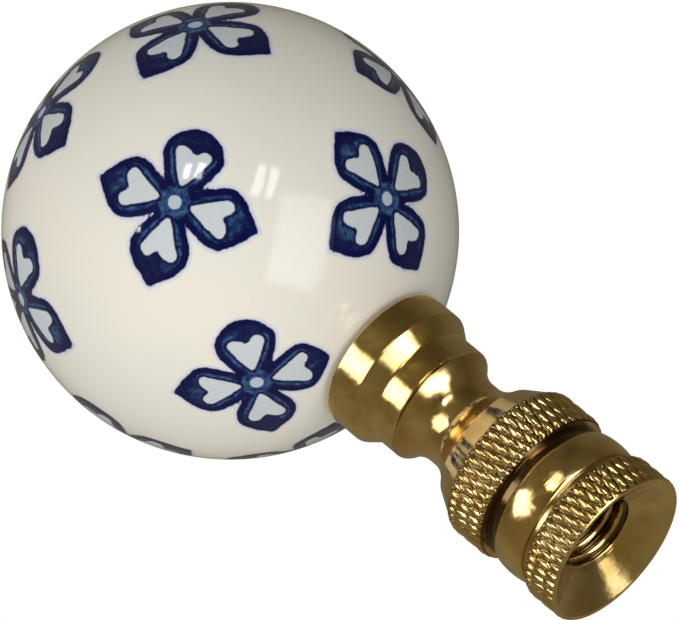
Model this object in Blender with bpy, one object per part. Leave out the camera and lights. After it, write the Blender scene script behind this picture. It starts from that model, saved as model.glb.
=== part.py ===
# Lamp shade finial: a porcelain ball seated on a turned brass base with two knurled bands.
# Lengths are in metres. The underside of the base lies on z = 0 and every turned shape is about Z.
# Heights are given one on top of the other, from the rim of the base up to the ball.

import math

import bmesh
import bpy

mm = 0.001

# Porcelain ball
ball_diameter = 34.0 * mm
seat_gap = 0.3 * mm
seat_diameter = 9.85 * mm

# Threaded hole and dished end of the base
bore_diameter = 6.35 * mm
bore_depth = 10.5 * mm
drill_point_angle = 118.0
mouth_chamfer = 0.15 * mm
dish_depth = 1.6 * mm
land_width = 0.3 * mm

# Knurled bands
knurl_diameter = 12.7 * mm
knurl_depth = 0.24 * mm
knurl_count = 48
knurl_row_height = 1.2 * mm
rim_chamfer = 0.1 * mm
lower_knurl_height = 3.0 * mm
upper_knurl_height = 3.6 * mm

# Bead and the two grooves beside it
lower_groove_height = 0.55 * mm
lower_groove_depth = 0.65 * mm
bead_height = 2.9 * mm
bead_inset = 0.25 * mm
bead_bulge = 0.3 * mm
upper_groove_height = 0.95 * mm
upper_groove_depth = 0.85 * mm

# Shoulder, flare, neck and cone
shoulder_height = 1.9 * mm
arris_diameter = 9.84 * mm
flare_height = 2.4 * mm
neck_height = 0.6 * mm
neck_diameter = 7.18 * mm
cone_height = 2.25 * mm

# Plain band and collar under the ball
band_height = 1.9 * mm
band_diameter = 9.66 * mm
collar_taper_height = 1.65 * mm
collar_height = 2.35 * mm
collar_diameter = 11.56 * mm

# Facets
bead_steps = 8
shoulder_steps = 6
curve_steps = 6
seat_steps = 6
ball_meridians = 56
ball_parallels = 28

knurl_radius = knurl_diameter / 2
valley_radius = knurl_radius - knurl_depth
bore_radius = bore_diameter / 2
bead_radius = knurl_radius - bead_inset
ball_radius = ball_diameter / 2
collar_radius = collar_diameter / 2
seat_radius = ball_radius + seat_gap

lower_knurl_top = rim_chamfer + lower_knurl_height
bead_bottom = lower_knurl_top + lower_groove_height
bead_top = bead_bottom + bead_height
upper_knurl_bottom = bead_top + upper_groove_height
upper_knurl_top = upper_knurl_bottom + upper_knurl_height
arris_level = upper_knurl_top + shoulder_height
neck_bottom = arris_level + flare_height
neck_top = neck_bottom + neck_height
band_bottom = neck_top + cone_height
band_top = band_bottom + band_height
collar_bottom = band_top + collar_taper_height
collar_top = collar_bottom + collar_height
ball_level = collar_top + math.sqrt(seat_radius**2 - (seat_diameter / 2) ** 2)


def clear_scene():
    for item in list(bpy.data.objects):
        bpy.data.objects.remove(item, do_unlink=True)


def make_material(name, colour, metallic, roughness):
    material = bpy.data.materials.new(name)
    material.use_nodes = True
    shader = material.node_tree.nodes["Principled BSDF"]
    shader.inputs["Base Color"].default_value = (*colour, 1.0)
    shader.inputs["Metallic"].default_value = metallic
    shader.inputs["Roughness"].default_value = roughness
    return material


def add_object(name, bm, material):
    mesh = bpy.data.meshes.new(name)
    bm.to_mesh(mesh)
    bm.free()
    mesh.materials.append(material)
    item = bpy.data.objects.new(name, mesh)
    bpy.context.scene.collection.objects.link(item)
    return item


def plain(radius, level):
    # A plain ring has one corner for each tooth of the knurl.
    return [radius] * knurl_count, level


def bore_rings():
    # The bore from its drilled end down to the chamfered mouth in the dish.
    return [
        plain(bore_radius, bore_depth),
        plain(bore_radius, dish_depth + mouth_chamfer),
        plain(bore_radius + mouth_chamfer, dish_depth),
    ]


def land_rings():
    # The flat ring that the part stands on, with the dish sloping up inside it.
    outer = knurl_radius - rim_chamfer
    return [plain(outer - land_width, 0.0), plain(outer, 0.0)]


def crossing_ring(top, drop):
    # Crests and valleys alternate round a ring of corners and change places one row lower.
    # Between two rows each corner has risen or sunk in proportion.
    rows = drop / knurl_row_height - 0.5
    radii = []
    for column in range(2 * knurl_count):
        tall = abs((rows + column) % 2.0 - 1.0)
        radii.append(valley_radius + knurl_depth * tall)
    return radii, top - drop


def knurled_rings(top, height, cut_short):
    # Crossed V grooves leave rows of lozenges. The highest row of crests is half a row under
    # the band's upper edge, where the lozenges run down to the bottom of the grooves. At its
    # lower edge the band ends in the same way, or it is cut short across a row.
    rings = [plain(valley_radius, top)]
    row = 0
    while (row + 0.5) * knurl_row_height < height * 0.999:
        rings.append(crossing_ring(top, (row + 0.5) * knurl_row_height))
        row += 1
    rings.append(crossing_ring(top, height) if cut_short else plain(valley_radius, top - height))
    return rings[::-1]


def groove_rings(bottom, height, depth):
    return [
        plain(knurl_radius - depth, bottom),
        plain(knurl_radius - depth, bottom + height),
    ]


def bead_rings():
    # The bead's section is one half wave that swells from its edges to its middle.
    rings = []
    for step in range(bead_steps + 1):
        share = step / bead_steps
        swell = math.sqrt(math.sin(math.pi * share))
        radius = bead_radius - bead_bulge * (1.0 - swell)
        rings.append(plain(radius, bead_bottom + bead_height * share))
    return rings


def shoulder_rings():
    # An ogee that is upright on the knurl's upper edge, leans in, and is upright again at
    # the arris.
    arris_radius = arris_diameter / 2
    rings = []
    for step in range(1, shoulder_steps + 1):
        share = step / shoulder_steps
        inward = share * share * (3.0 - 2.0 * share)
        radius = valley_radius + (arris_radius - valley_radius) * inward
        rings.append(plain(radius, upper_knurl_top + shoulder_height * share))
    return rings


def hollow_rings(wide_radius, wide_level, narrow_radius, narrow_level):
    # A parabola that leaves the wide edge at a slope and meets the neck upright.
    rings = []
    for step in range(1, curve_steps + 1):
        share = 1.0 - step / curve_steps
        radius = narrow_radius + (wide_radius - narrow_radius) * share**2
        level = narrow_level + (wide_level - narrow_level) * share
        rings.append(plain(radius, level))
    return rings


def neck_rings():
    arris_radius = arris_diameter / 2
    neck_radius = neck_diameter / 2
    band_radius = band_diameter / 2
    flare = hollow_rings(arris_radius, arris_level, neck_radius, neck_bottom)
    cone = hollow_rings(band_radius, band_bottom, neck_radius, neck_top)
    return flare + cone[::-1]


def collar_rings():
    band_radius = band_diameter / 2
    return [
        plain(band_radius, band_bottom),
        plain(band_radius, band_top),
        plain(collar_radius, collar_bottom),
        plain(collar_radius, collar_top),
    ]


def seat_rings():
    # The seat is a cup inside the collar's flat rim: part of a sphere about the ball's own
    # centre, one gap larger than the ball.
    rings = []
    for step in range(seat_steps):
        radius = seat_diameter / 2 * (1.0 - step / seat_steps)
        rings.append(plain(radius, ball_level - math.sqrt(seat_radius**2 - radius**2)))
    return rings


def base_rings():
    return (
        bore_rings()
        + land_rings()
        + knurled_rings(lower_knurl_top, lower_knurl_height, True)
        + groove_rings(lower_knurl_top, lower_groove_height, lower_groove_depth)
        + bead_rings()
        + groove_rings(bead_top, upper_groove_height, upper_groove_depth)
        + knurled_rings(upper_knurl_top, upper_knurl_height, False)
        + shoulder_rings()
        + neck_rings()
        + collar_rings()
        + seat_rings()
    )


def ring_corners(bm, radii, level):
    corners = []
    for index, radius in enumerate(radii):
        angle = 2.0 * math.pi * index / len(radii)
        corners.append(bm.verts.new((radius * math.cos(angle), radius * math.sin(angle), level)))
    return corners


def radius_of(corner):
    return math.hypot(corner.co.x, corner.co.y)


def join_equal(bm, first, second):
    # Where a quad has two crests and two valleys, the fold runs between the valleys.
    count = len(first)
    for index in range(count):
        a = first[index]
        b = first[(index + 1) % count]
        c = second[(index + 1) % count]
        d = second[index]
        twist = radius_of(a) + radius_of(c) - radius_of(b) - radius_of(d)
        if abs(twist) < knurl_depth:
            bm.faces.new((a, b, c, d))
        elif twist > 0:
            bm.faces.new((a, b, d))
            bm.faces.new((b, c, d))
        else:
            bm.faces.new((a, b, c))
            bm.faces.new((a, c, d))


def join_double(bm, coarse, fine, fine_first):
    # One edge of the coarse ring meets two edges of the fine ring.
    count = len(coarse)
    for index in range(count):
        left = coarse[index]
        right = coarse[(index + 1) % count]
        low = fine[2 * index]
        middle = fine[2 * index + 1]
        high = fine[(2 * index + 2) % len(fine)]
        for face in ((left, middle, low), (left, right, middle), (right, high, middle)):
            bm.faces.new(face[::-1] if fine_first else face)


def join_rings(bm, first, second):
    if len(first) == len(second):
        join_equal(bm, first, second)
    elif len(first) < len(second):
        join_double(bm, first, second, False)
    else:
        join_double(bm, second, first, True)


def shade(bm, sharp_angle):
    # Curves are smooth, while arrises and the flanks of the knurl stay sharp.
    limit = math.radians(sharp_angle)
    for face in bm.faces:
        face.smooth = True
    for edge in bm.edges:
        edge.smooth = edge.calc_face_angle(0.0) < limit


def make_base(material):
    bm = bmesh.new()
    rings = [ring_corners(bm, radii, level) for radii, level in base_rings()]
    point_rise = bore_radius / math.tan(math.radians(drill_point_angle / 2))
    bore_tip = bm.verts.new((0.0, 0.0, bore_depth + point_rise))
    seat_middle = bm.verts.new((0.0, 0.0, ball_level - seat_radius))
    for index in range(knurl_count):
        following = (index + 1) % knurl_count
        bm.faces.new((bore_tip, rings[0][following], rings[0][index]))
        bm.faces.new((rings[-1][index], rings[-1][following], seat_middle))
    for first, second in zip(rings, rings[1:]):
        join_rings(bm, first, second)
    bm.normal_update()
    shade(bm, 28.0)
    return add_object("brass_base", bm, material)


def make_ball(material):
    bm = bmesh.new()
    bmesh.ops.create_uvsphere(
        bm, u_segments=ball_meridians, v_segments=ball_parallels, radius=ball_radius
    )
    bmesh.ops.translate(bm, verts=bm.verts, vec=(0.0, 0.0, ball_level))
    bm.normal_update()
    shade(bm, 28.0)
    return add_object("porcelain_ball", bm, material)


clear_scene()
make_ball(make_material("glazed_porcelain", (0.80, 0.76, 0.68), 0.0, 0.12))
make_base(make_material("turned_brass", (0.66, 0.43, 0.15), 1.0, 0.28))
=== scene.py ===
import math

import bpy
import numpy as np
from mathutils import Matrix, Vector


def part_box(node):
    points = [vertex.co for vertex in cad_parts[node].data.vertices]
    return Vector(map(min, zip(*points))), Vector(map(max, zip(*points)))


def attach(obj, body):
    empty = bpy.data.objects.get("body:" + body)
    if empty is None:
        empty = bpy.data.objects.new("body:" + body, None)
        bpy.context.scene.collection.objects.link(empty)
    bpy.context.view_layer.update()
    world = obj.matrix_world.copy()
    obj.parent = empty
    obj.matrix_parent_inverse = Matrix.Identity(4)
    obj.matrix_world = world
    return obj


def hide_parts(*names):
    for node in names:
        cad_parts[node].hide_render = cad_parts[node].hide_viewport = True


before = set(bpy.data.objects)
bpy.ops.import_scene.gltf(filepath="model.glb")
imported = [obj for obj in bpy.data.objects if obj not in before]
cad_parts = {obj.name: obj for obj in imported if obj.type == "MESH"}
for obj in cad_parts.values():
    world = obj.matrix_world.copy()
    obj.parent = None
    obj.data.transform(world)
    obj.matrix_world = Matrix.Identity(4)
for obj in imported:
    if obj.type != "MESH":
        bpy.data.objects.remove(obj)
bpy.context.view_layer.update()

# Lamp shade finial: a glazed porcelain ball with blue blossoms on a turned brass base.
# Lengths are metres on the frame's axes. The rim of the base stands on z = 0, and +Z runs up
# to the ball.

mm = 0.001
ballLow, ballHigh = (np.array(corner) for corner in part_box("porcelain_ball"))
ballRadius = (ballHigh[2] - ballLow[2]) / 2
ballCentre = (ballHigh + ballLow) / 2
print("frame loaded, ball radius %.2f mm" % (ballRadius / mm))


def closedGrid(index, radius):
    # Two triangles for each cell between neighbouring rings. The cell is cut along the diagonal
    # whose two ends are nearer in radius, so grooves and ridges stay straight.
    a, b = index[:-1], np.roll(index, -1, 1)[:-1]
    c, d = np.roll(index, -1, 1)[1:], index[1:]
    along = np.abs(radius[a] - radius[c]) <= np.abs(radius[b] - radius[d])
    first = np.where(along[..., None], np.stack([a, b, c], -1), np.stack([a, b, d], -1))
    second = np.where(along[..., None], np.stack([a, c, d], -1), np.stack([b, c, d], -1))
    return np.concatenate([first.reshape(-1, 3), second.reshape(-1, 3)])


def doubledRing(coarse, fine, fineFirst):
    # One edge of the coarse ring meets two edges of the fine ring: three triangles.
    right, high = np.roll(coarse, -1), np.roll(fine[0::2], -1)
    low, middle = fine[0::2], fine[1::2]
    faces = np.concatenate([
        np.stack([coarse, middle, low], -1),
        np.stack([coarse, right, middle], -1),
        np.stack([right, high, middle], -1),
    ])
    return faces[:, ::-1] if fineFirst else faces


def pointedEnd(tip, ring, tipFirst):
    # A fan from one point to every edge of a ring.
    faces = np.stack([np.full_like(ring, tip), np.roll(ring, -1), ring], -1)
    return faces if tipFirst else faces[:, ::-1]


def makePiece(name, points, faces, material, nodeName):
    # The signed volume is the sum of every triangle's triple product over six: it is positive
    # when the faces point outwards, and otherwise every face is turned round.
    corners = points[faces]
    volume = np.einsum("ij,ij->i", corners[:, 0], np.cross(corners[:, 1], corners[:, 2])).sum() / 6
    if volume < 0:
        faces = faces[:, ::-1]
    mesh = bpy.data.meshes.new(name)
    mesh.from_pydata(points, [], faces)
    mesh.polygons.foreach_set("use_smooth", np.ones(len(faces), bool))
    mesh.materials.append(material)
    mesh.update()
    piece = bpy.data.objects.new(name, mesh)
    bpy.context.scene.collection.objects.link(piece)
    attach(piece, "root")
    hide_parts(nodeName)
    print("%s: %d triangles, %.2f cubic cm" % (name, len(faces), abs(volume) / mm**3 / 1000))
    return piece


def addField(piece, fieldName, values):
    field = piece.data.attributes.new(fieldName, "FLOAT", "POINT")
    field.data.foreach_set("value", np.ascontiguousarray(values, np.float32))


def newMaterial(name):
    material = bpy.data.materials.new(name)
    material.use_nodes = True
    return material, material.node_tree, material.node_tree.nodes["Principled BSDF"]


def plug(tree, socket, value):
    if isinstance(value, bpy.types.NodeSocket):
        tree.links.new(value, socket)
    else:
        socket.default_value = value


def maths(tree, operation, first, second=0.0):
    step = tree.nodes.new("ShaderNodeMath")
    step.operation = operation
    plug(tree, step.inputs[0], first)
    plug(tree, step.inputs[1], second)
    return step.outputs[0]


def ramp(tree, value, start, end, low=0.0, high=1.0):
    # Goes smoothly from low at the start value to high at the end value.
    step = tree.nodes.new("ShaderNodeMapRange")
    step.interpolation_type = "SMOOTHSTEP"
    for socket, number in zip(step.inputs[:5], (value, start, end, low, high)):
        plug(tree, socket, number)
    return step.outputs[0]


def blend(tree, share, under, over):
    step = tree.nodes.new("ShaderNodeMix")
    step.data_type = "RGBA"
    plug(tree, step.inputs["Factor"], share)
    plug(tree, step.inputs["A"], under)
    plug(tree, step.inputs["B"], over)
    return step.outputs["Result"]


def grain(tree, place, scale, detail=2.0, roughness=0.5, distortion=0.0):
    step = tree.nodes.new("ShaderNodeTexNoise")
    plug(tree, step.inputs["Vector"], place)
    step.inputs["Scale"].default_value = scale
    step.inputs["Detail"].default_value = detail
    step.inputs["Roughness"].default_value = roughness
    step.inputs["Distortion"].default_value = distortion
    return step.outputs["Fac"]


def field(tree, name):
    step = tree.nodes.new("ShaderNodeAttribute")
    step.attribute_name = name
    return step.outputs["Fac"]


def objectPlace(tree):
    # Object coordinates in millimetres, so that every noise scale below is per millimetre.
    place = tree.nodes.new("ShaderNodeTexCoord").outputs["Object"]
    step = tree.nodes.new("ShaderNodeVectorMath")
    step.operation = "SCALE"
    plug(tree, step.inputs[0], place)
    step.inputs["Scale"].default_value = 1000.0
    return step.outputs[0]


def sway(tree, place, scale, most):
    # Noise about zero, from minus half to plus half of the given most.
    return maths(tree, "MULTIPLY", maths(tree, "SUBTRACT", grain(tree, place, scale), 0.5), most)


def bump(tree, height, distance, strength=1.0, under=None):
    step = tree.nodes.new("ShaderNodeBump")
    step.inputs["Strength"].default_value = strength
    step.inputs["Distance"].default_value = distance
    plug(tree, step.inputs["Height"], height)
    if under is not None:
        tree.links.new(under, step.inputs["Normal"])
    return step.outputs[0]


blossomLook = {
    # Half outline of a petal, from its root to its tip: along and across, in mm. The first
    # petal of a blossom is blunt and the other three are pointed.
    "pointedPetal": [
        (0.45, 0.45), (0.9, 0.93), (1.4, 1.40), (2.0, 1.74), (2.7, 2.08), (3.4, 2.27),
        (4.0, 2.20), (4.6, 1.85), (5.2, 1.28), (5.75, 0.60), (6.2, 0.0),
    ],
    "bluntPetal": [
        (0.45, 0.45), (0.9, 0.93), (1.4, 1.40), (2.0, 1.74), (2.7, 2.08), (3.4, 2.30),
        (4.0, 2.28), (4.6, 2.02), (5.2, 1.56), (5.62, 1.02), (5.86, 0.50), (5.92, 0.0),
    ],
    # The pale patch left in each petal: narrow at the root, notched at its wide end.
    "patch": [
        (1.15, 0.0), (1.5, 0.32), (2.2, 0.72), (3.0, 1.12), (3.55, 1.36), (3.95, 1.25),
        (4.15, 0.85), (4.0, 0.52), (3.75, 0.3), (3.62, 0.0), (3.82, -0.22), (3.98, -0.5),
        (4.1, -0.85), (3.98, -1.22), (3.6, -1.4), (3.0, -1.1), (2.2, -0.7), (1.5, -0.3),
    ],
    # Where each blossom sits: degrees above the ball's middle, degrees round it, its turn in
    # degrees, its size, and the length of its four petals against the outlines above.
    "places": [
        (-12.7, -93.3, 18.5, 1.038, (0.94, 1.02, 1.03, 1.02)),
        (-46.0, -39.6, 19.6, 1.033, (0.95, 1.00, 1.02, 1.01)),
        (-52.6, -134.7, 24.5, 1.011, (0.94, 1.01, 1.02, 0.93)),
        (23.9, -49.8, 9.7, 1.081, (1.0, 0.97, 1.04, 1.04)),
        (46.6, -100.5, -0.6, 1.062, (1.0, 1.0, 1.0, 1.03)),
        (17.9, -147.8, 9.7, 1.056, (0.99, 1.02, 1.0, 1.03)),
        (-10.2, -4.0, 6.9, 1.035, (1.0, 0.97, 1.02, 1.0)),
        (-11.1, 174.0, 13.9, 1.088, (0.95, 1.0, 1.02, 1.0)),
        (-48.5, 143.0, 19.0, 1.04, (1.0, 0.96, 1.0, 1.02)),
        (-40.4, 50.0, 19.0, 1.04, (1.0, 1.0, 0.97, 1.0)),
        (21.0, 122.0, 11.0, 1.04, (0.95, 1.0, 1.02, 1.0)),
        (27.0, 34.0, 12.0, 1.06, (1.0, 1.02, 0.96, 1.0)),
        (-9.0, 88.0, 16.0, 1.05, (1.02, 1.0, 1.0, 0.96)),
        (62.0, 156.0, 5.0, 1.04, (1.0, 0.97, 1.0, 1.01)),
        (62.0, 2.0, 8.0, 1.03, (1.0, 1.0, 0.96, 1.02)),
    ],
    "knot": 1.75,       # the four petals join inside this distance from the middle, mm
    "reach": 8.4,       # how far from its middle a blossom is painted, mm
    "widest": 3.6,      # where a petal is widest, mm along it
    "margin": 0.4,      # how far outside its outline a petal still has its own shade, mm
}


def curveThrough(knots, closed, steps=5):
    # A Catmull-Rom curve: between two knots it is the cubic that passes through both with the
    # slope of the chord between their neighbours.
    knots = np.array(knots, float)
    if closed:
        line = np.vstack([knots[-1], knots, knots[:2]])
    else:
        line = np.vstack([2 * knots[0] - knots[1], knots, 2 * knots[-1] - knots[-2]])
    a, b, c, d = (line[i:len(line) - 3 + i, None] for i in range(4))
    t = (np.arange(steps) / steps)[None, :, None]
    curve = b + t * (c - a) / 2 + t**2 * (2 * a - 5 * b + 4 * c - d) / 2
    curve = (curve + t**3 * (3 * b - a - 3 * c + d) / 2).reshape(-1, 2)
    return curve if closed else np.vstack([curve, knots[-1]])


def depthInside(points, outline):
    # The distance to the nearest edge of the outline, positive inside it. A point is inside
    # when a ray from it crosses the outline an odd number of times.
    start, side = outline, np.roll(outline, -1, 0) - outline
    offset = points[:, None] - start[None]
    share = np.clip((offset * side).sum(-1) / (side**2).sum(-1), 0, 1)
    distance = np.sqrt(((offset - share[..., None] * side) ** 2).sum(-1).min(1))
    crosses = (offset[..., 1] < 0) != (offset[..., 1] < side[:, 1])
    rise = np.where(np.abs(side[:, 1]) < 1e-9, 1e-9, side[:, 1])
    inside = (crosses & (offset[..., 0] < offset[..., 1] / rise * side[:, 0])).sum(1) % 2 == 1
    return np.where(inside, distance, -distance)


def paintBlossoms(look, directions):
    # Every point of the ball is laid flat about a blossom's middle: its distance along the ball
    # and its bearing become two flat coordinates, which a quarter turn brings onto each petal.
    # The results, in mm: the depth inside a petal and inside its pale patch, the distance from
    # the middle and along the petal. The last one is a number of its own for each petal.
    outlines = []
    for name in ("bluntPetal", "pointedPetal", "pointedPetal", "pointedPetal"):
        half = curveThrough(look[name], False)
        outlines.append(np.vstack([half, half[-2::-1] * (1, -1)]))
    patch = curveThrough(look["patch"], True)
    widest, full = look["widest"], look["pointedPetal"][-1][0]
    count = len(directions)
    # what a point has that no blossom reaches
    outside, farAway = -2.0, 9.0
    petalDepth, patchDepth = np.full(count, outside), np.full(count, outside)
    middle, along, shade = np.full(count, farAway), np.zeros(count), np.zeros(count)
    for number, (rise, around, turn, size, lengths) in enumerate(look["places"]):
        rise, around, turn = np.radians((rise, around, turn))
        out = np.array([
            math.cos(rise) * math.cos(around), math.cos(rise) * math.sin(around), math.sin(rise)])
        east = np.array([-math.sin(around), math.cos(around), 0.0])
        north = np.cross(out, east)
        angle = np.arccos(np.clip(directions @ out, -1, 1))
        # a point belongs to the blossom whose middle is nearest
        near = np.flatnonzero(angle * ballRadius / mm < np.minimum(look["reach"], middle))
        spread = angle[near] / np.maximum(np.sin(angle[near]), 1e-9) * ballRadius / mm / size
        x, y = directions[near] @ east * spread, directions[near] @ north * spread
        middle[near] = np.hypot(x, y)
        petalDepth[near] = look["knot"] - middle[near]
        for leaf, length in enumerate(lengths):
            c, s = math.cos(turn + leaf * math.pi / 2), math.sin(turn + leaf * math.pi / 2)
            u, v = x * c + y * s, y * c - x * s
            # past its widest place the petal is drawn out or in to its own length
            stretch = (full - widest) / (full * length - widest)
            u = np.where(u > widest, widest + (u - widest) * stretch, u)
            flip = 1 if (leaf + number) % 2 else -1
            spot = np.stack([u, v], -1)
            depth = depthInside(spot, outlines[leaf])
            petalDepth[near] = np.maximum(petalDepth[near], depth)
            patchDepth[near] = np.maximum(patchDepth[near], depthInside(spot * (1, flip), patch))
            own = depth > -look["margin"]
            along[near[own]] = u[own]
            shade[near[own]] = (number * 0.37 + leaf * 0.61) % 1.0
    return petalDepth, patchDepth, middle, along, shade


ballLook = {
    "columns": 480, "rows": 200,
    "ivory": (0.75, 0.717, 0.635, 1.0),
    "coolIvory": (0.71, 0.695, 0.63, 1.0),
    "bleed": (0.42, 0.48, 0.74, 1.0),
    "navy": (0.0005, 0.0015, 0.045, 1.0),
    "cobalt": (0.002, 0.009, 0.075, 1.0),
    "wash": (0.042, 0.110, 0.235, 1.0),
    "patch": (0.55, 0.58, 0.585, 1.0),
    "eye": (0.42, 0.48, 0.56, 1.0),
    "speck": (0.45, 0.38, 0.30, 1.0),
    "speckShare": 0.12,
    "broadWaver": 0.28, "fineWaver": 0.07,      # how far a brush strays from its line, mm
    # where each tone starts and is full, in mm inwards from the outline of a petal or patch
    "petalEdge": (-0.03, 0.10), "patchEdge": (-0.05, 0.08),
    "bleedEdge": (-0.32, 0.0), "bleedShare": 0.55,
    "rimEdge": (0.74, 0.46), "huggingEdge": (-0.30, -0.14), "huggingShare": 0.9,
    # where the tip's navy starts and is full, and the two ends of its smudge, mm along a petal
    "tip": (3.2, 3.8), "tipShare": 0.95, "smudgeStart": (3.2, 3.7), "smudgeEnd": (5.2, 4.3),
    # where the ring and the eye start and are full, in mm from a blossom's middle
    "ringEdge": (0.92, 0.76), "eyeEdge": (0.56, 0.44),
    "paintRoughness": 0.5,
    "glaze": 1.0, "glazeRoughness": 0.05, "glazeIOR": 1.5,
    "ripple": 0.00005,                          # how deep the glaze ripples, m
}


def porcelainMaterial(look):
    material, tree, shader = newMaterial("paintedPorcelain")
    place = objectPlace(tree)
    petalDepth, patchDepth = field(tree, "petalDepth"), field(tree, "patchDepth")
    middle, along = field(tree, "fromMiddle"), field(tree, "alongPetal")
    shade = field(tree, "petalShade")
    # a brush never follows its line exactly: two sizes of waver move every edge
    fine = sway(tree, place, 4.0, look["fineWaver"])
    waver = maths(tree, "ADD", sway(tree, place, 1.0, look["broadWaver"]), fine)
    petalEdge = maths(tree, "ADD", petalDepth, waver)
    patchEdge = maths(tree, "ADD", patchDepth, maths(tree, "MULTIPLY", waver, 0.8))
    # the bare glaze: two ivories in wide clouds, with a few faint specks
    cloud = grain(tree, place, 0.09, 2.0)
    speck = ramp(tree, grain(tree, place, 2.6, 1.0), 0.74, 0.80)
    ivory = blend(tree, ramp(tree, cloud, 0.35, 0.65), look["ivory"], look["coolIvory"])
    speck = maths(tree, "MULTIPLY", speck, look["speckShare"])
    ivory = blend(tree, speck, ivory, look["speck"])
    # the blue bleeds a little way into the glaze round each blossom
    bleed = ramp(tree, petalEdge, *look["bleedEdge"])
    bleed = maths(tree, "MULTIPLY", bleed, look["bleedShare"])
    colour = blend(tree, bleed, ivory, look["bleed"])
    # inside a petal: a wash, darkened to navy along the outline, round the patch and over the
    # tip, where a smudge of the wash shows through again
    streak = grain(tree, place, 1.9, 3.0, 0.6, 0.8)
    wash = blend(tree, ramp(tree, streak, 0.35, 0.65, 0.1, 1.0), look["cobalt"], look["wash"])
    rim = ramp(tree, petalEdge, *look["rimEdge"])
    hug = ramp(tree, patchEdge, *look["huggingEdge"])
    hug = maths(tree, "MULTIPLY", hug, look["huggingShare"])
    smudge = ramp(tree, along, *look["smudgeStart"])
    smudge = maths(tree, "MULTIPLY", smudge, ramp(tree, along, *look["smudgeEnd"]))
    clump = ramp(tree, grain(tree, place, 0.55, 2.0), 0.47, 0.58)
    smudge = maths(tree, "MULTIPLY", smudge, clump)
    smudge = maths(tree, "MULTIPLY", smudge, ramp(tree, shade, 0.1, 0.9, 0.4, 1.0))
    calm = maths(tree, "SUBTRACT", 1.0, smudge)
    tip = ramp(tree, along, *look["tip"], 0.0, look["tipShare"])
    tip = maths(tree, "MULTIPLY", tip, calm)
    dark = maths(tree, "MAXIMUM", maths(tree, "MAXIMUM", rim, hug), tip)
    dark = maths(tree, "MULTIPLY", dark, ramp(tree, grain(tree, place, 0.8), 0.2, 0.6, 0.92, 1.0))
    paint = blend(tree, dark, wash, look["navy"])
    colour = blend(tree, ramp(tree, petalEdge, *look["petalEdge"]), colour, paint)
    patch = blend(tree, ramp(tree, streak, 0.3, 0.8, 0.0, 0.25), look["patch"], look["bleed"])
    colour = blend(tree, ramp(tree, patchEdge, *look["patchEdge"]), colour, patch)
    # the ring and the eye in the middle
    centre = maths(tree, "ADD", middle, fine)
    ring = blend(tree, ramp(tree, streak, 0.35, 0.65, 0.1, 0.6), look["cobalt"], look["wash"])
    colour = blend(tree, ramp(tree, centre, *look["ringEdge"]), colour, ring)
    colour = blend(tree, ramp(tree, centre, *look["eyeEdge"]), colour, look["eye"])
    tree.links.new(colour, shader.inputs["Base Color"])
    shader.inputs["Roughness"].default_value = look["paintRoughness"]
    shader.inputs["Specular IOR Level"].default_value = 0.0      # the glaze alone is glossy
    shader.inputs["Coat Weight"].default_value = look["glaze"]
    shader.inputs["Coat Roughness"].default_value = look["glazeRoughness"]
    shader.inputs["Coat IOR"].default_value = look["glazeIOR"]
    ripple = maths(tree, "MULTIPLY", grain(tree, place, 1.1), 0.10)
    ripple = maths(tree, "ADD", grain(tree, place, 0.22, 2.0), ripple)
    tree.links.new(bump(tree, ripple, look["ripple"]), shader.inputs["Coat Normal"])
    return material


def ballPoints(look):
    # Point at a turn and a rise: the centre plus the radius times
    # (cos rise cos turn, cos rise sin turn, sin rise). The two ends are single points.
    rise = np.linspace(-math.pi / 2, math.pi / 2, look["rows"] + 1)[1:-1]
    turn = np.arange(look["columns"]) * 2 * math.pi / look["columns"]
    rise, turn = np.meshgrid(rise, turn, indexing="ij")
    unit = np.stack([np.cos(rise) * np.cos(turn), np.cos(rise) * np.sin(turn), np.sin(rise)], -1)
    return np.vstack([(0, 0, -1), unit.reshape(-1, 3), (0, 0, 1)])


def makeBall(look):
    unit = ballPoints(look)
    index = np.arange(1, len(unit) - 1).reshape(-1, look["columns"])
    faces = np.concatenate([
        pointedEnd(0, index[0], True),
        closedGrid(index, np.zeros(len(unit))),
        pointedEnd(len(unit) - 1, index[-1], False),
    ])
    piece = makePiece(
        "porcelainBall", ballCentre + unit * ballRadius, faces,
        porcelainMaterial(look), "porcelain_ball")
    painted = paintBlossoms(blossomLook, unit)
    names = ("petalDepth", "patchDepth", "fromMiddle", "alongPetal", "petalShade")
    for name, values in zip(names, painted):
        addField(piece, name, values)


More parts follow.
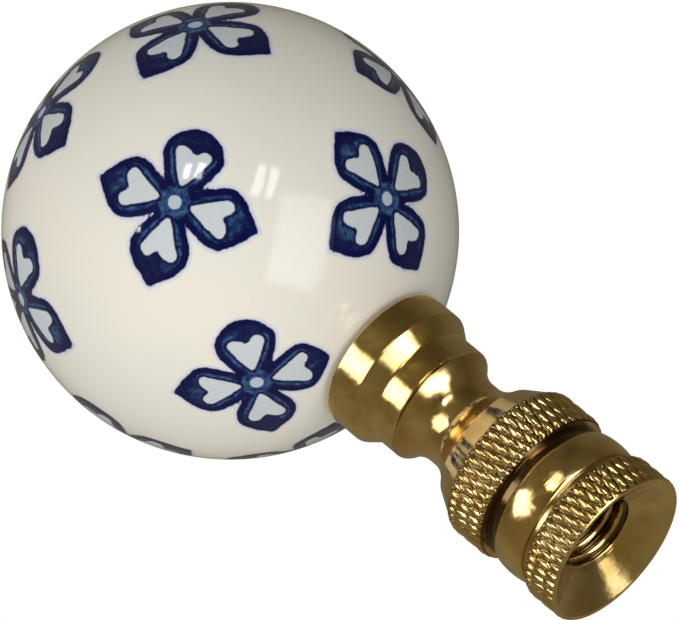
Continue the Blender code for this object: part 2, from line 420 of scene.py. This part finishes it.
baseSizes = {
    # in mm, from the rim of the base up to the ball
    "knurlRadius": 6.35, "knurlDepth": 0.27, "knurlCount": 48, "knurlRow": 1.2,
    "lowerKnurl": (0.1, 3.1), "upperKnurl": (7.5, 11.1),
    "lowerGroove": 5.70, "upperGroove": 5.50,
    "bead": (3.65, 6.55), "beadRadius": 6.10, "beadBulge": 0.30,
    "shoulderTop": 13.0, "arrisRadius": 5.0,
    "neck": (15.4, 16.0), "neckRadius": 3.59,
    "band": (18.25, 20.3), "bandRadius": 4.83,
    "collar": (21.65, 24.15), "collarRadius": 5.78,
    "seatRadius": 4.925, "seatGap": 0.3,
    "landInner": 5.95, "landOuter": 6.25, "dishTop": 1.6, "mouthRadius": 3.3, "mouthSlope": 1.3,
    "threadRoot": 3.175, "threadCrest": 2.74, "threadPitch": 0.94, "threadTop": 9.9,
    "boreEnd": 10.5, "boreTip": 12.4,
    # a lozenge's steep flank: its part of the height, and of the way to the middle
    "knurlFlank": 0.35, "knurlClimb": 0.18,
    "knurlFade": 0.5,               # height over which lozenges rise from a band's closed edge
    "rimCut": (0.05, 0.8),          # how far the rim cuts into the knurl, and its slope
    "threadCrown": 0.75,            # under 1 the ridge is wider than the root
    "threadFade": 0.8,              # height of the thread's run-out
    # how much painted shade hollows get: a start, and what each part of the full height takes away
    "knurlShade": (1.5, 2.2), "threadShade": (1.5, 1.3),
    "grooveShade": (5.82, 0.25),    # radius below which a groove gets painted shade, and over what depth
    # rows and columns of the mesh
    "knurlSamples": 12, "plainColumns": 288, "boreColumns": 144,
    "threadRows": 16, "beadRows": 22, "curveRows": 11, "seatRows": 9,
}


def softCorners(corners, support=0.05, steps=3):
    # Rows of radius, level and rounding. At each rounded corner the line follows the parabola
    # (1-t)^2 before + 2t(1-t) corner + t^2 after, from one rounding before to one after it.
    # One more point stands beside each end of it, which keeps the straight parts straight.
    corners = np.array(corners, float)
    line = [corners[0, :2]]
    t = np.linspace(0, 1, steps + 1)[:, None]
    for before, here, after in zip(corners, corners[1:], corners[2:]):
        size = here[2]
        if size == 0:
            line.append(here[:2])
            continue
        back = before[:2] - here[:2]
        ahead = after[:2] - here[:2]
        back /= np.hypot(*back)
        ahead /= np.hypot(*ahead)
        start, end = here[:2] + back * size, here[:2] + ahead * size
        line.append(start + back * support)
        line.extend((1 - t) ** 2 * start + 2 * t * (1 - t) * here[:2] + t**2 * end)
        line.append(end + ahead * support)
    line.append(corners[-1, :2])
    return np.array(line)


def ringsOf(radius, level):
    # Point at a turn and a row: (radius cos turn, radius sin turn, level).
    turn = np.arange(radius.shape[1]) * 2 * math.pi / radius.shape[1]
    level = np.broadcast_to(level, radius.shape)
    return np.stack([radius * np.cos(turn), radius * np.sin(turn), level], -1)


def turned(profile, columns):
    # A profile of radius and level, carried once round the axis.
    return ringsOf(np.repeat(profile[:, :1], columns, 1), profile[:, 1:])


def hollowShade(height, fall):
    # How much painted shade a place gets, from 0 to 1: the start less the fall times the height.
    start, perHeight = fall
    return np.clip(start - perHeight * height, 0, 1)


def knurledRings(size, bottom, top, cutShort):
    # Two families of V grooves cross. A point has two counts, its place round the band in
    # lozenges plus and minus half its depth in rows, and a groove runs where a count is a half.
    # The nearest of the two grooves and of the band's closed edges gives a share from 0 to 1.
    # A lozenge climbs steeply out of its grooves for its flank's part of the height, and the
    # rest is a dome, the product of 1 - (1-d)^2 for the distances d to grooves and edges.
    samples, height = size["knurlSamples"], top - bottom
    drop = np.arange(0, height, 2 * size["knurlRow"] / samples)
    # extra rows stand close to both edges of the band
    drop = np.unique(np.round(np.append(drop, [0.03, 0.1, height - 0.04, height]), 4))
    drop = drop[::-1, None]
    lane = np.arange(size["knurlCount"] * samples)[None] / samples
    rows = drop / size["knurlRow"] - 0.5
    ways = [drop / size["knurlFade"]]
    for count in (lane + rows / 2, lane - rows / 2):
        ways.append(1 - 2 * np.abs(count - np.round(count)))
    if not cutShort:
        ways.append((height - drop) / size["knurlFade"])
    share, dome = 1.0, 1.0
    for way in ways:
        way = np.clip(way, 0, 1)
        share = np.minimum(share, way)
        dome = dome * (1 - (1 - way) ** 2)
    flank = size["knurlFlank"]
    tall = flank * np.clip(share / size["knurlClimb"], 0, 1) + (1 - flank) * dome
    radius = size["knurlRadius"] - size["knurlDepth"] * (1 - tall)
    if cutShort:
        cut, slope = size["rimCut"]
        radius = np.minimum(radius, size["knurlRadius"] - cut + (height - drop) * slope)
    return ringsOf(radius, top - drop), hollowShade(tall, size["knurlShade"])


def threadedRings(size):
    # A right-hand thread: the fraction of a pitch is the level less one pitch for each turn.
    # The ridge rises and falls as a raised cosine of that fraction, to the power of its crown.
    # Where the mouth's cone is wider than the thread, the cone is the wall.
    step = size["threadPitch"] / size["threadRows"]
    level = np.arange(size["threadTop"], size["dishTop"] + 0.03, -step)
    level = np.append(level, size["dishTop"])[:, None]
    turn = np.arange(size["boreColumns"])[None] / size["boreColumns"]
    part = (level / size["threadPitch"] - turn) % 1.0
    ridge = (0.5 - 0.5 * np.cos(2 * math.pi * part)) ** size["threadCrown"]
    runOut = np.clip((size["threadTop"] - level) / size["threadFade"], 0, 1)
    radius = size["threadRoot"] - (size["threadRoot"] - size["threadCrest"]) * ridge * runOut
    cone = size["mouthRadius"] - (level - size["dishTop"]) * size["mouthSlope"]
    # painted shade in the thread's roots, none on the mouth's cone
    shade = np.where(cone > radius, 0.0, hollowShade(ridge, size["threadShade"]))
    return ringsOf(np.maximum(radius, cone), level), shade


def between(start, end, share, power=1):
    # Rows from one radius and level to another: the level goes by the share, and the radius by
    # the share to the power.
    return np.stack([
        start[0] + (end[0] - start[0]) * share**power,
        start[1] + (end[1] - start[1]) * share], -1)


def outerProfiles(size):
    knurl = size["knurlRadius"]
    # rows that close up towards both ends keep the dish's cone smooth to the eye
    share = np.array([0.02, 0.05, 0.12, 0.25, 0.5, 0.75, 0.9, 0.95])
    cone = between((size["mouthRadius"], size["dishTop"]), (size["landInner"], 0.0), share)
    dish = np.vstack([cone[:-1], softCorners([
        (*cone[-1], 0),
        (size["landInner"], 0.0, 0.06),
        (size["landOuter"], 0.0, 0.05),
        (knurl - size["rimCut"][0], size["lowerKnurl"][0], 0),
    ])])
    # the bead swells by the root of a half sine wave
    share = np.linspace(0, 1, size["beadRows"] + 1)[1:-1]
    beadLow, beadHigh = size["bead"]
    swell = size["beadRadius"] - size["beadBulge"] * (1 - np.sqrt(np.sin(math.pi * share)))
    bead = np.stack([swell, beadLow + (beadHigh - beadLow) * share], -1)
    edgeRadius = size["beadRadius"] - size["beadBulge"]
    valley = knurl - size["knurlDepth"]
    lowWall = softCorners([
        (valley - 0.01, size["lowerKnurl"][1], 0),
        (size["lowerGroove"], size["lowerKnurl"][1] + 0.02, 0.06),
        (size["lowerGroove"], beadLow, 0.04),
        (edgeRadius, beadLow, 0),
    ])
    highWall = softCorners([
        (edgeRadius, beadHigh, 0),
        (size["upperGroove"], beadHigh, 0.05),
        (size["upperGroove"], size["upperKnurl"][0], 0.06),
        (valley - 0.01, size["upperKnurl"][0], 0),
    ])
    grooves = np.vstack([lowWall, bead, highWall])
    # the shoulder is a straight cone, in close rows at both of its edges
    share = np.array([0, 0.03, 0.08, 0.2, 0.4, 0.6, 0.8, 0.92, 0.97, 1])
    arris = size["arrisRadius"], size["shoulderTop"]
    shoulder = between((valley - 0.005, size["upperKnurl"][1]), arris, share)
    # flare and cone are parabolas that meet the neck upright
    share = np.linspace(1, 0, size["curveRows"] + 1)
    neckLow, neckHigh = size["neck"]
    flare = between((size["neckRadius"], neckLow), arris, share, 2)
    bandEdge = size["bandRadius"], size["band"][0]
    cone = between((size["neckRadius"], neckHigh), bandEdge, share[::-1], 2)
    # the seat is part of a sphere about the ball's centre, one gap larger than the ball
    centre = ballCentre[2] / mm
    cup = ballRadius / mm + size["seatGap"]
    reach = size["seatRadius"] * np.linspace(1, 0, size["seatRows"] + 1)[:-1]
    seat = np.stack([reach, centre - np.sqrt(cup**2 - reach**2)], -1)
    head = softCorners([
        (size["bandRadius"] - 0.02, size["band"][0] - 0.04, 0),
        (size["bandRadius"], size["band"][0] + 0.04, 0.05),
        (size["bandRadius"], size["band"][1], 0.08),
        (size["collarRadius"], size["collar"][0], 0.08),
        (size["collarRadius"], size["collar"][1], 0.10),
        (size["seatRadius"] + 0.2, size["collar"][1], 0),
    ])
    crown = np.vstack([shoulder, flare[1:], cone[:-1], head, seat])
    return dish, grooves, crown


def joinSections(rings, radius):
    # Each section is a grid of its own. Its last ring is joined to the first of the next one,
    # which has as many points, twice as many, half as many or a single one.
    faces = [closedGrid(index, radius) for index in rings if len(index) > 1]
    for before, after in zip(rings, rings[1:]):
        first, second = before[-1], after[0]
        if len(first) == 1:
            faces.append(pointedEnd(first[0], second, True))
        elif len(second) == 1:
            faces.append(pointedEnd(second[0], first, False))
        elif len(first) == len(second):
            faces.append(closedGrid(np.stack([first, second]), radius))
        elif len(first) < len(second):
            faces.append(doubledRing(first, second, False))
        else:
            faces.append(doubledRing(second, first, True))
    return np.concatenate(faces)


def makeBase(size):
    dish, grooves, crown = outerProfiles(size)
    darkBelow, darkOver = size["grooveShade"]
    grooveShade = np.clip((darkBelow - grooves[:, :1]) / darkOver, 0, 1)
    plain = size["plainColumns"]
    root = size["threadRoot"]
    bore = np.array([(root, size["boreEnd"]), (root, size["threadTop"] + 0.1)])
    thread, threadShade = threadedRings(size)
    lower, lowerShade = knurledRings(size, *size["lowerKnurl"], True)
    upper, upperShade = knurledRings(size, *size["upperKnurl"], False)
    tip = np.array([[[0.0, 0.0, size["boreTip"]]]])
    middle = np.array([[[0.0, 0.0, (ballCentre[2] - ballRadius) / mm - size["seatGap"]]]])
    # each section with its painted shade: full in the bore, none on the dish and the crown
    sections = [
        (tip, 1.0), (turned(bore, size["boreColumns"]), 1.0), (thread, threadShade),
        (turned(dish, plain), 0.0), (lower, lowerShade), (turned(grooves, plain), grooveShade),
        (upper, upperShade), (turned(crown, plain), 0.0), (middle, 0.0),
    ]
    points, valley, rings = [], [], []
    count = 0
    for grid, shade in sections:
        rows, columns = grid.shape[:2]
        points.append(grid.reshape(-1, 3))
        valley.append(np.broadcast_to(shade, (rows, columns)).ravel())
        rings.append(np.arange(count, count + rows * columns).reshape(rows, columns))
        count += rows * columns
    points = np.concatenate(points)
    faces = joinSections(rings, np.hypot(points[:, 0], points[:, 1]))
    piece = makePiece(
        "brassBase", points * mm, faces, brassMaterial(brassLook), "brass_base")
    # the valley field carries the painted shade of the hollows
    addField(piece, "valley", np.concatenate(valley))
    return piece


brassLook = {
    "bright": (0.83, 0.61, 0.26, 1.0),
    "warm": (0.68, 0.44, 0.13, 1.0),
    # the colour of the painted shade in the hollows
    "deep": (0.055, 0.022, 0.004, 1.0),
    "roughness": (0.08, 0.17),
    "lacquer": 0.5, "lacquerRoughness": 0.04, "lacquerIOR": 1.5,
    "paintedShade": 0.92,          # how far painted shade darkens the deepest hollows
    "markDepth": 0.000006, "markScale": 9.0, "markSpread": 1.7,
    "dentDepth": 0.00006, "dentStrength": 0.5,
}


def brassMaterial(look):
    material, tree, shader = newMaterial("lacqueredBrass")
    place = objectPlace(tree)
    valley = field(tree, "valley")
    cloud = grain(tree, place, 0.35, 3.0)
    colour = blend(tree, ramp(tree, cloud, 0.35, 0.68), look["bright"], look["warm"])
    # painted shade: the valley field darkens the hollows of knurl, thread, grooves and bore
    # towards the deep colour
    paintedShade = maths(tree, "MULTIPLY", ramp(tree, valley, 0.3, 0.9), look["paintedShade"])
    colour = blend(tree, paintedShade, colour, look["deep"])
    tree.links.new(colour, shader.inputs["Base Color"])
    shader.inputs["Metallic"].default_value = 1.0
    shader.inputs["Coat Weight"].default_value = look["lacquer"]
    shader.inputs["Coat Roughness"].default_value = look["lacquerRoughness"]
    shader.inputs["Coat IOR"].default_value = look["lacquerIOR"]
    worn = grain(tree, place, 1.6, 4.0, 0.6)
    tree.links.new(ramp(tree, worn, 0.3, 0.7, *look["roughness"]), shader.inputs["Roughness"])
    # turning marks: fine rings that depend on the height plus the distance from the axis
    split = tree.nodes.new("ShaderNodeSeparateXYZ")
    tree.links.new(place, split.inputs[0])
    x, y, z = split.outputs
    square = maths(tree, "ADD", maths(tree, "MULTIPLY", x, x), maths(tree, "MULTIPLY", y, y))
    away = maths(tree, "SQRT", square)
    step = tree.nodes.new("ShaderNodeTexNoise")
    step.noise_dimensions = "1D"
    spread = maths(tree, "MULTIPLY", away, look["markSpread"])
    plug(tree, step.inputs["W"], maths(tree, "ADD", z, spread))
    step.inputs["Scale"].default_value = look["markScale"]
    step.inputs["Detail"].default_value = 3.0
    marks = bump(tree, step.outputs["Fac"], look["markDepth"])
    dent = grain(tree, place, 0.8, 2.0)
    dents = bump(tree, dent, look["dentDepth"], look["dentStrength"], marks)
    tree.links.new(dents, shader.inputs["Normal"])
    return material


makeBall(ballLook)
base = makeBase(baseSizes)


cameraPlace = {
    # measured on the photograph: the axis is tilted this far from the line of sight, turned
    # this far in it, and the ball's centre lies at this pixel, that far away
    "tilt": 63.15, "turn": 39.61, "column": 230.27, "row": 230.83,
    "distance": 0.610, "focalPixels": 8210.0, "width": 679, "height": 620, "sensor": 36.0,
}


def makeCamera(look):
    tilt, turn = math.radians(look["tilt"]), math.radians(look["turn"])
    axis = Vector((
        math.sin(tilt) * math.cos(turn), math.sin(tilt) * math.sin(turn), -math.cos(tilt)))
    side = Vector((math.sin(turn), -math.cos(turn), 0.0))
    near = axis.cross(side)
    if near.z > 0:
        near = -near
    # columns are the object's axes seen by the camera, with x right, y down and z away
    seen = Matrix((side, -near, -axis)).transposed()
    back = seen.transposed()
    offset = Vector((
        (look["column"] - look["width"] / 2) * look["distance"] / look["focalPixels"],
        (look["row"] - look["height"] / 2) * look["distance"] / look["focalPixels"],
        look["distance"]))
    spin = back @ Matrix(((1, 0, 0), (0, -1, 0), (0, 0, -1)))
    place = Vector(ballCentre) - back @ offset
    data = bpy.data.cameras.new("studioCamera")
    data.sensor_width = look["sensor"]
    data.lens = look["focalPixels"] / look["width"] * look["sensor"]
    camera = bpy.data.objects.new("studioCamera", data)
    camera.matrix_world = Matrix.Translation(place) @ spin.to_4x4()
    bpy.context.scene.collection.objects.link(camera)
    bpy.context.scene.camera = camera
    return spin


cameraSpin = makeCamera(cameraPlace)
print("camera placed")


studio = {
    # each softbox: its direction from the object in the camera's own right, up and towards,
    # its width and height in degrees as the object sees it, its roll, its brightness, how much
    # of it fades at its edges, and what it lights: "all" is ball and base, "brass" is the base
    # alone, and "soft" is both, but without a reflection of the softbox
    "lights": {
        "leftWindow": ((-0.90, 0.115, 0.43), 27, 31, 0, 3.1, 0.02, "brass"),
        "upperWindow": ((-0.20, 0.59, 0.78), 16, 24, -30, 3.0, 0.08, "brass"),
        "lowWindow": ((0.87, -0.37, 0.31), 18, 24, 30, 1.4, 0.30, "brass"),
        "rightWindow": ((0.588, -0.080, 0.80), 34, 52, -8, 2.4, 0.16, "all"),
        "rightWindowGlow": ((0.49, 0.05, 0.87), 27, 46, -20, 3.2, 0.02, "brass"),
        "firstBar": ((0.238, 0.43, 0.871), 5.8, 21, -23, 6.0, 0.25, "all"),
        "secondBar": ((0.348, 0.405, 0.845), 5.8, 21, -23, 6.0, 0.25, "all"),
        "leftPane": ((-0.338, 0.49, 0.803), 4.0, 9.5, -8, 14.0, 0.2, "all"),
        "rightPane": ((-0.247, 0.494, 0.833), 4.0, 9.5, -8, 14.0, 0.2, "all"),
        "sparkle": ((-0.718, 0.025, 0.69), 3.2, 3.2, 0, 18.0, 0.3, "all"),
        "lowFill": ((-0.60, -0.45, 0.66), 52, 52, 0, 1.2, 0.0, "soft"),
        "ceiling": ((-0.687, 0.569, -0.452), 58, 58, 0, 0.8, 0.0, "soft"),
    },
    "distance": 0.5, "aimLevel": 0.03,
    # light from the room along the camera's own axes: for soft surfaces, and for reflections
    "room": [
        ((1, 0, 0), 0.00, 0.07), ((-1, 0, 0), 0.42, 0.13), ((0, 1, 0), 0.10, 0.07),
        ((0, -1, 0), 0.53, 0.17), ((0, 0, 1), 0.53, 0.08), ((0, 0, -1), 0.14, 0.13),
    ],
    "roomColour": (1.0, 0.985, 0.955, 1.0),
    "reflectedColour": (1.0, 0.87, 0.58, 1.0),
    "backdropColour": (1.0, 1.0, 1.0, 1.0),
    "floorColour": (0.93, 0.92, 0.90, 1.0), "floorRoughness": 0.8, "floorReach": 1.6,
}


def addSoftbox(name, aim, distance, across, tall, roll, brightness, fade, lights):
    # A lamp's power is its brightness times pi times its area. Its light falls off smoothly
    # towards its edges, over the given share of its width and height.
    data = bpy.data.lights.new(name, "AREA")
    data.shape = "RECTANGLE"
    data.size = 2 * distance * math.tan(math.radians(across / 2))
    data.size_y = 2 * distance * math.tan(math.radians(tall / 2))
    data.energy = math.pi * data.size * data.size_y * brightness
    if fade:
        data.use_nodes = True
        tree = data.node_tree
        split = tree.nodes.new("ShaderNodeSeparateXYZ")
        spot = tree.nodes.new("ShaderNodeNewGeometry").outputs["Parametric"]
        tree.links.new(spot, split.inputs[0])
        share = 1.0
        for place in split.outputs[:2]:
            share = maths(tree, "MULTIPLY", share, ramp(tree, place, 0.0, fade))
            share = maths(tree, "MULTIPLY", share, ramp(tree, place, 1.0, 1.0 - fade))
        plug(tree, tree.nodes["Emission"].inputs["Strength"], share)
    lamp = bpy.data.objects.new(name, data)
    right = (cameraSpin @ Vector((0, 1, 0))).cross(aim).normalized()
    turn = Matrix((right, aim.cross(right), aim)).transposed()
    turn = turn @ Matrix.Rotation(math.radians(roll), 3, "Z")
    middle = Vector((0, 0, studio["aimLevel"]))
    lamp.matrix_world = Matrix.Translation(middle + aim * distance) @ turn.to_4x4()
    bpy.context.scene.collection.objects.link(lamp)
    if lights == "brass":
        lamp.light_linking.receiver_collection = brassOnly
    lamp.visible_glossy = lights != "soft"


def makeWorld(look):
    # The room's light in a direction is the sum, over six axes, of each axis's strength times
    # the part of the direction that points along it. The camera sees a plain backdrop instead.
    world = bpy.data.worlds.new("paleRoom")
    bpy.context.scene.world = world
    world.use_nodes = True
    tree = world.node_tree
    towards = tree.nodes.new("ShaderNodeTexCoord").outputs["Generated"]
    soft, gloss = 0.0, 0.0
    for axis, softShare, glossShare in look["room"]:
        step = tree.nodes.new("ShaderNodeVectorMath")
        step.operation = "DOT_PRODUCT"
        tree.links.new(towards, step.inputs[0])
        step.inputs[1].default_value = cameraSpin @ Vector(axis)
        facing = maths(tree, "MAXIMUM", step.outputs["Value"], 0.0)
        soft = maths(tree, "ADD", soft, maths(tree, "MULTIPLY", facing, softShare))
        gloss = maths(tree, "ADD", gloss, maths(tree, "MULTIPLY", facing, glossShare))
    path = tree.nodes.new("ShaderNodeLightPath")
    room = tree.nodes["Background"]
    glossy = path.outputs["Is Glossy Ray"]
    gloss = maths(tree, "MULTIPLY", gloss, glossy)
    soft = maths(tree, "MULTIPLY", soft, maths(tree, "SUBTRACT", 1.0, glossy))
    tree.links.new(maths(tree, "ADD", gloss, soft), room.inputs["Strength"])
    colour = blend(tree, glossy, look["roomColour"], look["reflectedColour"])
    tree.links.new(colour, room.inputs["Color"])
    seen = tree.nodes.new("ShaderNodeBackground")
    seen.inputs["Color"].default_value = look["backdropColour"]
    mix = tree.nodes.new("ShaderNodeMixShader")
    tree.links.new(path.outputs["Is Camera Ray"], mix.inputs[0])
    tree.links.new(room.outputs[0], mix.inputs[1])
    tree.links.new(seen.outputs[0], mix.inputs[2])
    tree.links.new(mix.outputs[0], tree.nodes["World Output"].inputs["Surface"])


def makeFloor(look):
    # The photograph looks up at the underside of the standing finial, so the floor is seen and
    # shaded on its upper side alone and lets the light of the lower lamps through.
    reach = look["floorReach"]
    mesh = bpy.data.meshes.new("paleFloor")
    corners = [(-reach, -reach, 0), (reach, -reach, 0), (reach, reach, 0), (-reach, reach, 0)]
    mesh.from_pydata(corners, [], [(0, 1, 2, 3)])
    material, tree, shader = newMaterial("palePaper")
    shader.inputs["Base Color"].default_value = look["floorColour"]
    shader.inputs["Roughness"].default_value = look["floorRoughness"]
    clear = tree.nodes.new("ShaderNodeBsdfTransparent")
    mix = tree.nodes.new("ShaderNodeMixShader")
    behind = tree.nodes.new("ShaderNodeNewGeometry").outputs["Backfacing"]
    tree.links.new(behind, mix.inputs[0])
    tree.links.new(shader.outputs[0], mix.inputs[1])
    tree.links.new(clear.outputs[0], mix.inputs[2])
    tree.links.new(mix.outputs[0], tree.nodes["Material Output"].inputs["Surface"])
    mesh.materials.append(material)
    floor = bpy.data.objects.new("paleFloor", mesh)
    bpy.context.scene.collection.objects.link(floor)
    floor.visible_shadow = floor.visible_diffuse = False
    floor.visible_glossy = floor.visible_transmission = False


brassOnly = bpy.data.collections.new("brassOnly")
brassOnly.objects.link(base)
for name, (direction, *rest) in studio["lights"].items():
    aim = (cameraSpin @ Vector(direction)).normalized()
    addSoftbox(name, aim, studio["distance"], *rest)
makeWorld(studio)
makeFloor(studio)
bpy.context.scene.view_settings.view_transform = "Standard"
print("light and floor placed")
